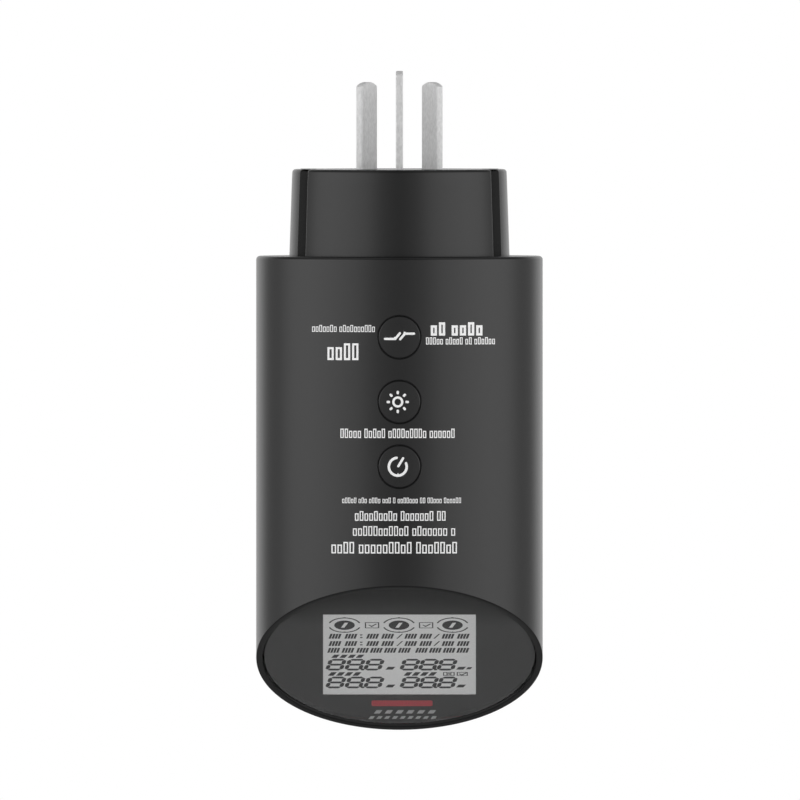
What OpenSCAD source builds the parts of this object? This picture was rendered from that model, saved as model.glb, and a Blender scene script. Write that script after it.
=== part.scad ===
// Outlet tester plug: a round three-pin plug-in tester with three push buttons
// on its barrel and a display behind an oval window in its slanted end.
// +Z runs from the body to the pin tips, -Y is the button side, and the origin
// is the centre of the flat face that meets the socket.

/* [Barrel] */
// Outside diameter of the barrel
barrel_d = 60; // [59:0.5:62]
// Length of the barrel from its shoulder to the middle of its slanted end
barrel_len = 84.3; // [84.3:0.5:89.8]
// Thickness of the barrel's wall
wall = 2.4; // [2.2:0.1:2.5]
// Thickness of the shoulder where the barrel steps in to the neck
shoulder_t = 3.6; // [3.2:0.1:4]
// Rounding of the shoulder's outer edge
shoulder_round = 0.8; // [0.4:0.1:1.2]
// Angle between the slanted end and a square cut
cut_angle = 27; // [25:0.5:28]

/* [Neck] */
// Height of the neck between the plug face and the shoulder
neck_h = 18.15; // [16.15:0.1:19.15]
// Diameter of the neck at the plug face
neck_top_d = 44.9; // [44:0.1:46]
// Diameter of the neck at the shoulder
neck_base_d = 46.1; // [45:0.1:47]
// Distance from the middle to the side wall of each grip notch
notch_x = 19.7; // [19.2:0.1:20.2]
// Distance from the middle to the floor of each grip notch
notch_y = 8.6; // [7.6:0.1:9.6]

/* [Pins] */
// Width of each flat blade
pin_w = 6.4; // [6:0.1:7]
// Thickness of each flat blade
pin_t = 1.5; // [1.4:0.1:1.8]
// Length of the live and neutral blades above the plug face
pin_len = 18.2; // [17:0.1:19]
// Length of the earth blade above the plug face
earth_len = 20.65; // [20.15:0.1:21.95]
// Distance from the centre to the live and the neutral blade
pin_offset = 7.92; // [7.8:0.01:8.2]
// Distance from the centre to the earth blade
earth_offset = 10.31; // [10:0.01:10.6]

/* [Buttons] */
// Diameter of the push caps
cap_d = 8.8; // [8:0.1:9]
// Gap between a cap and its hole
cap_gap = 0.2; // [0.1:0.05:0.3]
// Distance from the plug face to the first button
first_button = 34.95; // [34.25:0.1:35.85]
// Distance from one button to the next
button_pitch = 13.55; // [13.2:0.05:13.6]

/* [Display] */
// Width of the visible display
view_w = 32; // [28:0.5:33]
// Height of the visible display, measured in the slanted face
view_h = 37.4; // [30.4:0.5:37.9]
// Width of the barrel's rim round the window
rim_w = 1.3; // [1.2:0.1:1.4]
// Gap between the rim and the window
window_gap = 0.3; // [0.2:0.05:0.4]
// How far the window sits below the rim
window_recess = 0.45; // [0.2:0.05:0.6]

/* [Hidden] */
$fn = 96;

shoulder_z = -neck_h;
cut_z = shoulder_z - barrel_len;
far = 140;
barrel_r = barrel_d / 2;
bore_r = barrel_r - wall;
bore_top = shoulder_z - shoulder_t;

// Plug base
neck_top_r = neck_top_d / 2;
neck_base_r = neck_base_d / 2;
face_round = 0.7;
face_t = 4.2;
neck_bore_r = 19.6;
flange_t = 2.2;
flange_r = bore_r - 0.3;
neck_fit = 0.1;
notch_reach = 4;
stud_x = 19;
stud_r = 1.75;
stud_h = 0.1;

// Pins
blade_round = 0.25;
tip_rise = 0.85;
head_w = 9;
head_t = 3;
head_h = 1.5;
tail_w = 3;
tail_t = 1;
tail_end = -11;
clamp_top = -(face_t + head_h);
clamp_t = 2;
clamp_r = 19.3;
post_r = 2.4;
clamp_posts = [[0, 15.5], [14, -8], [-14, -8]];
base_screw_r = 25.3;
base_screw_angles = [90, 210, 330];

// Buttons
button_z = [for (i = [0:2]) -(first_button + i * button_pitch)];
cap_r = cap_d / 2;
cap_face_r = barrel_r + 0.03;
pad_y = -(barrel_r - 3.3);
pad_r = 6.4;
cap_flange_y = pad_y + 0.1;
cap_flange_t = 0.8;
cap_flange_r = 5.3;
cap_back_y = cap_flange_y + cap_flange_t;
switch_y = -20.5;
switch_h = 3.6;
switch_w = 6;
plunger_r = 1.75;
plunger_fit = 0.08;
plunger_in = 0.8;
switch_well = 1.6;
board_t = 1.6;
button_board_w = 16;
button_board_z = [-24.4, -72.8];
button_post_z = [-26.7, -70.1];
button_ribbon_z = -72.75;
ribbon_w = 8;
ribbon_t = 0.4;

// Wires and main board
wire_r = 0.85;
bend_swell = 0.06;
main_y = 8.6;
wire_y = main_y - 1;
wire_end = -28.9;
main_w = 40;
main_z = [-26, -84];
main_screws = [[9, -40], [-9, -40], [9, -80], [-9, -80]];

// Battery bay
tray_x = 13;
tray_wall = 1.5;
tray_front_y = 11.8;
tray_back_y = 24.2;
tray_z = [-33.6, -86.4];
bay_wall = 1.4;
cell_x = 5.6;
cell_y = 18.7;
cell_r = 5.15;
cell_len = 43.7;
nub_r = 1.9;
nub_h = 0.8;
contact_t = 0.4;
spring_turns = 4;
spring_r = 3.4;
spring_wire_r = 0.3;
door_z = [-34.6, -93.1];
door_x = 11.6;
door_gap = 0.25;
door_screw_z = -89.6;
door_boss_y = 16;
door_inner_r = 27.8;
tab_x = 7;
tab_w = 4;
tab_y = [24.9, 25.9];
tab_top_z = -32.6;
tab_root_z = -37;
tray_posts = [[17, -37], [-17, -37], [17, -83], [-17, -83]];
tray_post_y = 14;
ear_t = 1.6;

// Display stack, measured inwards from the rim's plane
seat_r = barrel_r - rim_w;
window_r = seat_r - window_gap;
window_t = 1.5;
mask_t = 0.15;
tape_t = 0.2;
window_back = window_recess + window_t;
mask_back = window_back + mask_t;
seat_depth = mask_back + tape_t;
tape_r = 27.75;
view_y = -0.3;
lcd_w = 33.8;
lcd_h = 40.8;
lcd_t = 2.2;
lcd_back = seat_depth + lcd_t;
guide_t = 2.7;
guide_w = 33;
guide_h = 34.6;
guide_back = lcd_back + guide_t;
holder_r = 27.2;
pocket_w = 34.2;
pocket_h = 41.2;
holder_back = guide_back + 0.8;
strip_y = 19.2;
strip_t = 1.8;
strip_w = 30;
panel_board_r = 26.6;
panel_board_w = 44;
panel_board_top = holder_back + 0.1;
panel_board_back = panel_board_top + board_t;
display_screw_xy = [[19.6, 12], [-19.6, 12], [19.6, -10], [-19.6, -10]];
holder_boss = [24.9, 5.9];
holder_boss_r = 2.9;
holder_boss_end = 16;
holder_seat = 5.5;

// ---------- shared shapes ----------

// Moves children into the slanted face's own frame: x across, y up towards the
// plug, z out of the face
module in_face() {
    translate([0, 0, cut_z]) rotate([180 - cut_angle, 0, 0]) children();
}

// Slab of the slanted face between two depths below the rim
module slab(top, bottom) {
    in_face() translate([-far / 2, -far / 2, -bottom]) cube([far, far, bottom - top]);
}

// Oval plate: a slice of an upright cylinder cut parallel to the slanted face
module oval(r, top, bottom) {
    intersection() {
        translate([0, 0, cut_z - far / 2]) cylinder(r = r, h = far);
        slab(top, bottom);
    }
}

// Box in the slanted face's frame, centred across, between two depths
module face_box(w, h, top, bottom, y = 0) {
    in_face() translate([-w / 2, y - h / 2, -bottom]) cube([w, h, bottom - top]);
}

// Cylinder square to the slanted face, between two depths
module face_post(xy, r, top, bottom) {
    in_face() translate([xy[0], xy[1], -bottom]) cylinder(r = r, h = bottom - top, $fn = 48);
}

// Cylinder along Y between two y values
module along_y(x, z, r, y0, y1) {
    translate([x, y0, z]) rotate([-90, 0, 0]) cylinder(r = r, h = y1 - y0, $fn = 64);
}

module rounded_rect(w, t, r) {
    square([w - 2 * r, t], center = true);
    square([w, t - 2 * r], center = true);
    for (x = [-1, 1], y = [-1, 1])
        translate([x * (w / 2 - r), y * (t / 2 - r)]) circle(r = r, $fn = 24);
}

// Pan-head screw along -Z, with its head's underside at the origin
module screw(r, len, head_r, head_h) {
    difference() {
        union() {
            cylinder(r = head_r, h = head_h, $fn = 48);
            translate([0, 0, -len]) cylinder(r = r, h = len + 0.1, $fn = 48);
        }
        for (a = [0, 90])
            rotate([0, 0, a]) translate([-head_r * 0.6, -0.25, head_h * 0.4])
                cube([head_r * 1.2, 0.5, head_h]);
    }
}

// Insulated wire through a short list of points, a little fatter at its bends
module wire(points, r) {
    for (i = [0:len(points) - 2]) {
        d = points[i + 1] - points[i];
        translate(points[i])
            rotate([0, acos(d[2] / norm(d)), atan2(d[1], d[0])]) cylinder(r = r, h = norm(d), $fn = 24);
    }
    for (i = [1:len(points) - 2]) translate(points[i]) sphere(r = r + bend_swell, $fn = 24);
}

// ---------- barrel ----------

module barrel_solid() {
    intersection() {
        rotate_extrude() difference() {
            translate([0, shoulder_z - far]) square([barrel_r, far]);
            translate([barrel_r - shoulder_round, shoulder_z - shoulder_round]) difference() {
                square(shoulder_round + 1);
                circle(r = shoulder_round);
            }
        }
        slab(0, far);
    }
}

module door_opening(gap) {
    translate([-door_x + gap, 0, door_z[1] + gap])
        cube([2 * (door_x - gap), far, door_z[0] - door_z[1] - 2 * gap]);
}

module housing() color([0.09, 0.09, 0.09]) difference() {
    union() {
        difference() {
            barrel_solid();
            translate([0, 0, bore_top - far]) cylinder(r = bore_r, h = far);
        }
        // Flats behind the buttons and posts for the boards and the display
        intersection() {
            union() {
                for (z = button_z) along_y(0, z, pad_r, -barrel_r, pad_y);
                for (z = button_post_z) along_y(0, z, post_r, -barrel_r, switch_y);
                for (p = tray_posts) along_y(p[0], p[1], post_r, tray_post_y, barrel_r);
                for (side = [-1, 1])
                    face_post([side * holder_boss[0], holder_boss[1]], holder_boss_r, holder_back,
                        holder_boss_end);
            }
            barrel_solid();
        }
    }
    for (z = button_z) along_y(0, z, cap_r + cap_gap, -far, 0);
    for (z = button_post_z) along_y(0, z, 0.8, switch_y - 5.5, switch_y + 1);
    for (p = tray_posts) along_y(p[0], p[1], 0.8, tray_post_y - 1, tray_post_y + 5.5);
    for (side = [-1, 1])
        face_post([side * holder_boss[0], holder_boss[1]], 0.8, 0, holder_back + 5.5);
    for (a = base_screw_angles)
        rotate([0, 0, a]) translate([base_screw_r, 0, bore_top - 1]) cylinder(r = 0.9, h = 3.8, $fn = 48);
    translate([0, 0, bore_top - 1]) cylinder(r = neck_base_r + neck_fit, h = far);
    oval(seat_r, -far / 2, seat_depth);
    door_opening(0);
}

// ---------- plug base and pins ----------

module neck_profile() {
    polygon(concat(
        [[0, bore_top - flange_t], [flange_r, bore_top - flange_t], [flange_r, bore_top],
            [neck_base_r, bore_top], [neck_base_r, shoulder_z]],
        [for (a = [0:18:90]) [neck_top_r - face_round + face_round * cos(a),
            -face_round + face_round * sin(a)]],
        [[0, 0]]));
}

module pin_place(i) {
    // 0 live, 1 neutral, 2 earth; the blade's width runs along local X
    angle = [30, 150, 270][i];
    offset_r = i == 2 ? earth_offset : pin_offset;
    rotate([0, 0, angle]) translate([offset_r, 0, 0]) rotate([0, 0, i == 2 ? 0 : 90]) children();
}

module plug_base() color([0.1, 0.1, 0.1]) difference() {
    union() {
        difference() {
            rotate_extrude() neck_profile();
            translate([0, 0, -far - face_t]) cylinder(r = neck_bore_r, h = far);
        }
        for (side = [-1, 1])
            translate([side * stud_x, 0, -1]) cylinder(r = stud_r, h = 1 + stud_h, $fn = 48);
        for (p = clamp_posts)
            translate([p[0], p[1], clamp_top]) cylinder(r = post_r, h = -clamp_top - 1, $fn = 48);
    }
    for (side = [0, 1], end = [0, 1])
        mirror([side, 0, 0]) mirror([0, end, 0]) translate([notch_x, notch_y, shoulder_z])
            cube([notch_reach, notch_reach, neck_h + 1]);
    for (i = [0:2])
        pin_place(i) translate([0, 0, -face_t - 1]) linear_extrude(face_t + 2)
            rounded_rect(pin_w + 0.1, pin_t + 0.1, blade_round);
    for (p = clamp_posts)
        translate([p[0], p[1], clamp_top - 1]) cylinder(r = 1, h = 4.6, $fn = 48);
    for (a = base_screw_angles)
        rotate([0, 0, a]) translate([base_screw_r, 0, bore_top - flange_t - 1])
            cylinder(r = 1.3, h = flange_t + 2, $fn = 48);
}

module pin(length) {
    crown_r = (pow(pin_w / 2, 2) + pow(tip_rise, 2)) / (2 * tip_rise);
    intersection() {
        translate([0, 0, -face_t]) linear_extrude(length + face_t) rounded_rect(pin_w, pin_t, blade_round);
        union() {
            translate([0, pin_t, length - crown_r]) rotate([90, 0, 0]) cylinder(r = crown_r, h = 2 * pin_t);
            translate([-pin_w, -pin_t, -face_t]) cube([2 * pin_w, 2 * pin_t, length + face_t - crown_r]);
        }
    }
    translate([-head_w / 2, -head_t / 2, clamp_top]) cube([head_w, head_t, head_h]);
    translate([-tail_w / 2, -tail_t / 2, tail_end]) cube([tail_w, tail_t, clamp_top - tail_end + 0.1]);
}

module pin_live() color([0.74, 0.74, 0.75]) pin_place(0) pin(pin_len);
module pin_neutral() color([0.72, 0.72, 0.73]) pin_place(1) pin(pin_len);
module pin_earth() color([0.76, 0.76, 0.77]) pin_place(2) pin(earth_len);

module pin_clamp() color([0.85, 0.83, 0.76]) difference() {
    translate([0, 0, clamp_top - clamp_t]) cylinder(r = clamp_r, h = clamp_t);
    for (i = [0:2])
        pin_place(i) translate([-tail_w / 2 - 0.2, -tail_t / 2 - 0.2, clamp_top - clamp_t - 1])
            cube([tail_w + 0.4, tail_t + 0.4, clamp_t + 2]);
    for (p = clamp_posts)
        translate([p[0], p[1], clamp_top - clamp_t - 1]) cylinder(r = 1.3, h = clamp_t + 2, $fn = 48);
}

module clamp_screws() color([0.6, 0.6, 0.62])
    for (p = clamp_posts)
        translate([p[0], p[1], clamp_top - clamp_t]) rotate([180, 0, 0]) screw(0.98, 5.2, 2.2, 1.3);

module base_screws() color([0.6, 0.6, 0.62])
    for (a = base_screw_angles)
        rotate([0, 0, a]) translate([base_screw_r, 0, bore_top - flange_t]) rotate([180, 0, 0])
            screw(0.88, 4.8, 1.8, 1.2);

module blade_wire(side)
    wire([[side * 6.86, 3.96, tail_end - 0.1], [side * 6.86, 3.96, -19], [side * 9, wire_y, -25],
        [side * 9, wire_y, wire_end]], wire_r);
module live_wire() color([0.45, 0.2, 0.1]) blade_wire(1);
module neutral_wire() color([0.15, 0.3, 0.65]) blade_wire(-1);
module earth_wire() color([0.55, 0.65, 0.15])
    wire([[0, -earth_offset, tail_end - 0.1], [0, -earth_offset, -18], [0, wire_y, -18],
        [0, wire_y, wire_end]], wire_r);

// ---------- main board ----------

module main_board() color([0.1, 0.32, 0.16]) difference() {
    translate([-main_w / 2, main_y, main_z[1]]) cube([main_w, board_t, main_z[0] - main_z[1]]);
    for (p = main_screws) along_y(p[0], p[1], 1.2, main_y - 1, main_y + board_t + 1);
}

module board_screws() color([0.6, 0.6, 0.62])
    for (p = main_screws) translate([p[0], main_y, p[1]]) rotate([90, 0, 0]) screw(0.78, 3.7, 1.9, 1.2);

module fuse() {
    color([0.8, 0.85, 0.85]) translate([-8, 5.3, -32]) rotate([0, 90, 0]) cylinder(r = 2.4, h = 16);
    color([0.7, 0.7, 0.72])
        for (x = [-10, 5]) translate([x, 5.3, -32]) rotate([0, 90, 0]) cylinder(r = 2.6, h = 5);
}

module varistor() color([0.15, 0.35, 0.7]) {
    translate([-17, 2.6, -40]) rotate([0, 90, 0]) cylinder(r = 4.6, h = 3.6);
    for (z = [-42, -38]) along_y(-15.2, z, 0.35, 2.6, main_y - 0.05);
}

module film_capacitor() color([0.75, 0.68, 0.3])
    translate([-6.5, -2.6, -46]) cube([13, main_y + 2.5, 6]);

module relay() color([0.12, 0.12, 0.14])
    translate([-9.2, -6.5, -60.5]) cube([18.4, main_y + 6.4, 10.4]);

module load_resistors() color([0.75, 0.72, 0.62])
    for (z = [-64, -69]) translate([-6, 5.6, z]) {
        rotate([0, 90, 0]) cylinder(r = 2.1, h = 12);
        for (x = [-2, 14]) along_y(x, 0, 0.35, 0, main_y - 5.65);
        translate([-2, 0, 0]) rotate([0, 90, 0]) cylinder(r = 0.35, h = 16, $fn = 24);
    }

module divider_resistors() color([0.55, 0.75, 0.8])
    for (i = [0:3]) translate([14.5, main_y - 1.6, -38 - 9 * i]) {
        cylinder(r = 1.1, h = 6.4, $fn = 32);
        for (z = [-1, 7.4]) along_y(0, z, 0.3, 0, 1.55);
        translate([0, 0, -1]) cylinder(r = 0.3, h = 8.4, $fn = 24);
    }

module controller() color([0.1, 0.1, 0.11])
    translate([-5, main_y - 1.5, -83]) cube([10, 1.4, 10]);

// ---------- buttons ----------

module button_board() color([0.1, 0.32, 0.16]) difference() {
    translate([-button_board_w / 2, switch_y, button_board_z[1]])
        cube([button_board_w, board_t, button_board_z[0] - button_board_z[1]]);
    for (z = button_post_z) along_y(0, z, 1.2, switch_y - 1, switch_y + board_t + 1);
}

module button_screws() color([0.6, 0.6, 0.62])
    for (z = button_post_z)
        translate([0, switch_y + board_t, z]) rotate([-90, 0, 0]) screw(0.78, 6.2, 1.9, 1.2);

module switch_bodies() color([0.16, 0.16, 0.17])
    for (z = button_z) difference() {
        translate([-switch_w / 2, switch_y - switch_h, z - switch_w / 2])
            cube([switch_w, switch_h, switch_w]);
        along_y(0, z, plunger_r + plunger_fit, switch_y - switch_h - 1, switch_y - switch_h + switch_well);
    }

module cap(i) {
    intersection() {
        along_y(0, button_z[i], cap_r, -barrel_r - 1, cap_back_y);
        translate([0, 0, button_z[i] - 6]) cylinder(r = cap_face_r, h = 12);
    }
    along_y(0, button_z[i], cap_flange_r, cap_flange_y, cap_back_y);
}

module plunger(i)
    along_y(0, button_z[i], plunger_r, cap_back_y, switch_y - switch_h + plunger_in);

module cap_test() color([0.13, 0.13, 0.13]) cap(0);
module cap_light() color([0.13, 0.13, 0.13]) cap(1);
module cap_power() color([0.13, 0.13, 0.13]) cap(2);
module plunger_test() color([0.3, 0.3, 0.3]) plunger(0);
module plunger_light() color([0.3, 0.3, 0.3]) plunger(1);
module plunger_power() color([0.3, 0.3, 0.3]) plunger(2);

module button_ribbon() color([0.75, 0.75, 0.78])
    translate([-ribbon_w / 2, switch_y + board_t + 0.05, button_ribbon_z])
        cube([ribbon_w, main_y - switch_y - board_t - 0.1, ribbon_t]);

module display_ribbon() color([0.75, 0.75, 0.78]) difference() {
    translate([-15, main_y - 0.15 - ribbon_t, cut_z]) cube([ribbon_w, ribbon_t, main_z[1] + 2 - cut_z]);
    slab(-far / 2, panel_board_back + 0.05);
}

// ---------- display ----------

module display_window() color([0.25, 0.27, 0.28]) oval(window_r, window_recess, window_back);

module window_mask() color([0.07, 0.07, 0.07]) difference() {
    oval(window_r, window_back, mask_back);
    face_box(view_w, view_h, window_back - 1, mask_back + 1, view_y);
}

module window_tape() color([0.85, 0.85, 0.8]) difference() {
    oval(window_r, mask_back, seat_depth);
    translate([0, 0, cut_z - far / 2]) cylinder(r = tape_r, h = far);
}

module lcd_glass() color([0.68, 0.7, 0.68]) face_box(lcd_w, lcd_h, seat_depth, lcd_back, view_y);

module lcd_holder() color([0.9, 0.9, 0.88]) difference() {
    oval(holder_r, seat_depth + 0.05, holder_back);
    face_box(pocket_w, pocket_h, 0, guide_back, view_y);
    for (y = [-1, 1]) face_box(strip_w + 1, strip_t + 0.6, 0, far, view_y + y * strip_y);
    for (x = [-9, 9]) in_face() translate([x, view_y, -far]) cylinder(r = 2.2, h = far);
    for (p = display_screw_xy) face_post(p, 0.8, holder_back - 4, holder_back + 1);
    for (side = [-1, 1]) {
        face_post([side * holder_boss[0], holder_boss[1]], 1.2, 0, holder_back + 1);
        face_post([side * holder_boss[0], holder_boss[1]], 2.1, 0, holder_seat);
    }
}

module light_guide() color([0.95, 0.95, 0.97]) face_box(guide_w, guide_h, lcd_back, guide_back, view_y);

module contact_strips() color([0.85, 0.55, 0.6])
    for (y = [-1, 1]) face_box(strip_w, strip_t, lcd_back, panel_board_top, view_y + y * strip_y);

module backlight_leds() color([0.95, 0.93, 0.6])
    for (x = [-9, 9])
        in_face() translate([x - 1.4, view_y - 1, -panel_board_top]) cube([2.8, 2, 0.8]);

module display_board() color([0.1, 0.32, 0.16]) difference() {
    intersection() {
        oval(panel_board_r, panel_board_top, panel_board_back);
        face_box(panel_board_w, far, panel_board_top - 1, panel_board_back + 1);
    }
    for (p = display_screw_xy) face_post(p, 1.2, 0, far);
    for (side = [-1, 1])
        face_post([side * holder_boss[0], holder_boss[1]], holder_boss_r + 0.4, 0, far);
}

module display_screws() color([0.6, 0.6, 0.62])
    for (p = display_screw_xy)
        in_face() translate([p[0], p[1], -panel_board_back]) rotate([180, 0, 0]) screw(0.78, 5, 1.7, 1.1);

module holder_screws() color([0.6, 0.6, 0.62])
    for (side = [-1, 1])
        in_face() translate([side * holder_boss[0], holder_boss[1], -holder_seat])
            screw(0.78, 7.6, 1.9, 1.2);

// ---------- battery bay ----------

module battery_tray() color([0.14, 0.14, 0.14]) difference() {
    union() {
        translate([-tray_x, tray_front_y, tray_z[1]])
            cube([2 * tray_x, tray_back_y - tray_front_y, tray_z[0] - tray_z[1]]);
        for (p = main_screws) along_y(p[0], p[1], post_r, main_y + board_t, tray_front_y + 1);
        for (p = tray_posts) along_y(p[0], p[1], post_r, tray_post_y - ear_t, tray_post_y);
        for (p = tray_posts)
            translate([p[0] > 0 ? tray_x - 1 : p[0], tray_post_y - ear_t, p[1] - post_r])
                cube([abs(p[0]) - tray_x + 1, ear_t, 2 * post_r]);
        translate([-3.5, door_boss_y, door_screw_z - 3.2]) cube([7, 8.6, tray_z[1] - door_screw_z + 3.4]);
    }
    translate([-tray_x + tray_wall, tray_front_y + bay_wall, tray_z[1] + bay_wall])
        cube([2 * (tray_x - tray_wall), far, tray_z[0] - tray_z[1] - 2 * bay_wall]);
    for (p = main_screws) along_y(p[0], p[1], 0.8, main_y, tray_front_y + 0.7);
    for (p = tray_posts) along_y(p[0], p[1], 1.2, 0, tray_post_y + 1);
    along_y(0, door_screw_z, 1.7, door_boss_y + 2, far);
}

module tray_screws() color([0.6, 0.6, 0.62])
    for (p = tray_posts)
        translate([p[0], tray_post_y - ear_t, p[1]]) rotate([90, 0, 0]) screw(0.78, 6, 1.9, 1.2);

bay_top = tray_z[0] - bay_wall;
bay_bottom = tray_z[1] + bay_wall;
module cell(x, up) {
    end_z = up > 0 ? bay_top - contact_t : bay_bottom + contact_t;
    translate([x, cell_y, end_z]) mirror([0, 0, up > 0 ? 1 : 0]) {
        cylinder(r = nub_r, h = nub_h + 0.1, $fn = 48);
        translate([0, 0, nub_h]) cylinder(r = cell_r, h = cell_len);
    }
}

module cell_left() color([0.75, 0.5, 0.25]) cell(-cell_x, 1);
module cell_right() color([0.75, 0.5, 0.25]) cell(cell_x, -1);

module cell_contacts() color([0.75, 0.76, 0.78]) {
    for (x = [-1, 1], z = [bay_top - contact_t, bay_bottom])
        translate([x * cell_x - 4.2, cell_y - 4.2, z]) cube([8.4, 8.4, contact_t]);
    spring_len = bay_top - bay_bottom - 2 * contact_t - nub_h - cell_len;
    for (i = [0:spring_turns - 1]) {
        dz = spring_len * (i + 0.5) / spring_turns;
        for (end = [[-cell_x, bay_bottom + contact_t + dz], [cell_x, bay_top - contact_t - dz]])
            translate([end[0], cell_y, end[1]]) rotate_extrude()
                translate([spring_r - 0.5 * i, 0]) circle(r = spring_wire_r, $fn = 16);
    }
}

module battery_door() color([0.1, 0.1, 0.1]) difference() {
    union() {
        intersection() {
            difference() {
                translate([0, 0, door_z[1]]) cylinder(r = barrel_r, h = door_z[0] - door_z[1]);
                translate([0, 0, door_z[1] - 1]) cylinder(r = door_inner_r, h = far);
            }
            door_opening(door_gap);
        }
        for (side = [-1, 1]) translate([side * tab_x - tab_w / 2, 0, 0]) {
            translate([0, tab_y[0], tab_root_z]) cube([tab_w, tab_y[1] - tab_y[0], tab_top_z - tab_root_z]);
            translate([0, tab_y[0], tab_root_z])
                cube([tab_w, 3, door_z[0] - door_gap - tab_root_z]);
        }
    }
    along_y(0, door_screw_z, 1.25, 0, far);
    along_y(0, door_screw_z, 2.3, barrel_r - 1.4, far);
}

module door_screw() color([0.6, 0.6, 0.62])
    translate([0, barrel_r - 1.4, door_screw_z]) rotate([-90, 0, 0]) screw(1, 7.6, 2, 1.2);

housing();
plug_base();
pin_live();
pin_neutral();
pin_earth();
pin_clamp();
clamp_screws();
base_screws();
live_wire();
neutral_wire();
earth_wire();
main_board();
board_screws();
fuse();
varistor();
film_capacitor();
relay();
load_resistors();
divider_resistors();
controller();
button_board();
button_screws();
switch_bodies();
cap_test();
cap_light();
cap_power();
plunger_test();
plunger_light();
plunger_power();
button_ribbon();
display_ribbon();
display_window();
window_mask();
window_tape();
lcd_glass();
lcd_holder();
light_guide();
contact_strips();
backlight_leds();
display_board();
display_screws();
holder_screws();
battery_tray();
tray_screws();
cell_left();
cell_right();
cell_contacts();
battery_door();
door_screw();
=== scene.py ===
import math
import random
import bmesh
import bpy
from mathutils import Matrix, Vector
from mathutils.geometry import delaunay_2d_cdt


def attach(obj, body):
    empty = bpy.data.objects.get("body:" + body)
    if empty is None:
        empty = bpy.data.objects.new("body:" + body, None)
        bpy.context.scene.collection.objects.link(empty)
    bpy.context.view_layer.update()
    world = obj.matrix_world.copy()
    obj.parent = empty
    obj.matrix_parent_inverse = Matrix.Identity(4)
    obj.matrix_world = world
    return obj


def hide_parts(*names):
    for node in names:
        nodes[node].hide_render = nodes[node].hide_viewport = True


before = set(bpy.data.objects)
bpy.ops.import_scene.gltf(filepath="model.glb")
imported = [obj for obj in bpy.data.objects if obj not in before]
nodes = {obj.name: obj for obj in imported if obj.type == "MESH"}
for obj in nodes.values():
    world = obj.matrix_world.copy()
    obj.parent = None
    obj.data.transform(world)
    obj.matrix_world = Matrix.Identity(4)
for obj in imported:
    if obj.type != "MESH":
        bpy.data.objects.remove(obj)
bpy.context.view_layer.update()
scene = bpy.context.scene

# ---------- Studio ----------
# White sweep with two broad soft lights, left and right of the object, and a
# dim side behind the camera. The floor is plain, pale and well below the part.


def node(tree, kind, **values):
    """Adds a shader node; values set its properties, or its inputs by name."""
    made = tree.nodes.new(kind)
    for key, value in values.items():
        if key in made.inputs:
            made.inputs[key].default_value = value
        else:
            setattr(made, key, value)
    return made


def ramp(tree, source, stops):
    """Colour ramp of greys or colours over a 0 to 1 value."""
    made = tree.nodes.new("ShaderNodeValToRGB")
    while len(made.color_ramp.elements) < len(stops):
        made.color_ramp.elements.new(0.5)
    for element, (place, colour) in zip(made.color_ramp.elements, stops):
        element.position = place
        element.color = (*colour, 1) if isinstance(colour, tuple) else (colour, colour, colour, 1)
    tree.links.new(source, made.inputs["Fac"])
    return made.outputs["Color"]


def maths(tree, kind, *values):
    """Adds a maths node over sockets and plain numbers, and gives its output."""
    made = node(tree, "ShaderNodeMath", operation=kind)
    for socket, value in zip(made.inputs, values):
        if isinstance(value, (int, float)):
            socket.default_value = value
        else:
            tree.links.new(value, socket)
    return made.outputs[0]


def parts_of(tree, vector):
    """The X, Y and Z sockets of a vector."""
    made = node(tree, "ShaderNodeSeparateXYZ")
    tree.links.new(vector, made.inputs[0])
    return made.outputs


def mapped(tree, value, low, high, to_low=0.0, to_high=1.0, **kinds):
    """Stretches a value from one range onto another."""
    made = node(tree, "ShaderNodeMapRange", **kinds)
    for label, number in (("From Min", low), ("From Max", high), ("To Min", to_low), ("To Max", to_high)):
        made.inputs[label].default_value = number
    tree.links.new(value, made.inputs["Value"])
    return made.outputs[0]


# Brightness of the room against the angle round from the camera's side
ROOM = [(0.0, 0.27), (0.10, 0.42), (0.20, 0.85), (0.30, 1.0), (0.42, 1.0), (0.53, 0.78),
        (0.63, 0.30), (0.73, 0.20), (0.81, 0.42), (0.95, 0.42)]
ROOM_STRENGTH, MATT_GAIN = 2.0, 1.5
overhead_from, overhead_to, overhead_share = 0.15, 0.6, 0.3

world = bpy.data.worlds.new("studio")
scene.world = world
world.use_nodes = True
tree = world.node_tree
tree.nodes.clear()
seen = node(tree, "ShaderNodeLightPath")
ways = parts_of(tree, node(tree, "ShaderNodeTexCoord").outputs["Generated"])
turn = maths(tree, "ABSOLUTE", maths(tree, "ARCTAN2", ways["X"], maths(tree, "MULTIPLY", ways["Y"], -1)))
overhead = mapped(tree, ways["Z"], overhead_from, overhead_to, ROOM_STRENGTH, overhead_share * ROOM_STRENGTH,
                  interpolation_type="SMOOTHSTEP")
matt = maths(tree, "MULTIPLY_ADD", seen.outputs["Is Diffuse Ray"], MATT_GAIN - 1, 1)
room_light = node(tree, "ShaderNodeBackground")
tree.links.new(ramp(tree, maths(tree, "DIVIDE", turn, math.pi), ROOM), room_light.inputs["Color"])
tree.links.new(maths(tree, "MULTIPLY", overhead, matt), room_light.inputs["Strength"])
backdrop = node(tree, "ShaderNodeBackground", Color=(1, 1, 1, 1), Strength=1.0)
pick = node(tree, "ShaderNodeMixShader")
tree.links.new(seen.outputs["Is Camera Ray"], pick.inputs[0])
tree.links.new(room_light.outputs[0], pick.inputs[1])
tree.links.new(backdrop.outputs[0], pick.inputs[2])
out = node(tree, "ShaderNodeOutputWorld")
tree.links.new(pick.outputs[0], out.inputs["Surface"])
scene.view_settings.view_transform = "Standard"

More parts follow.
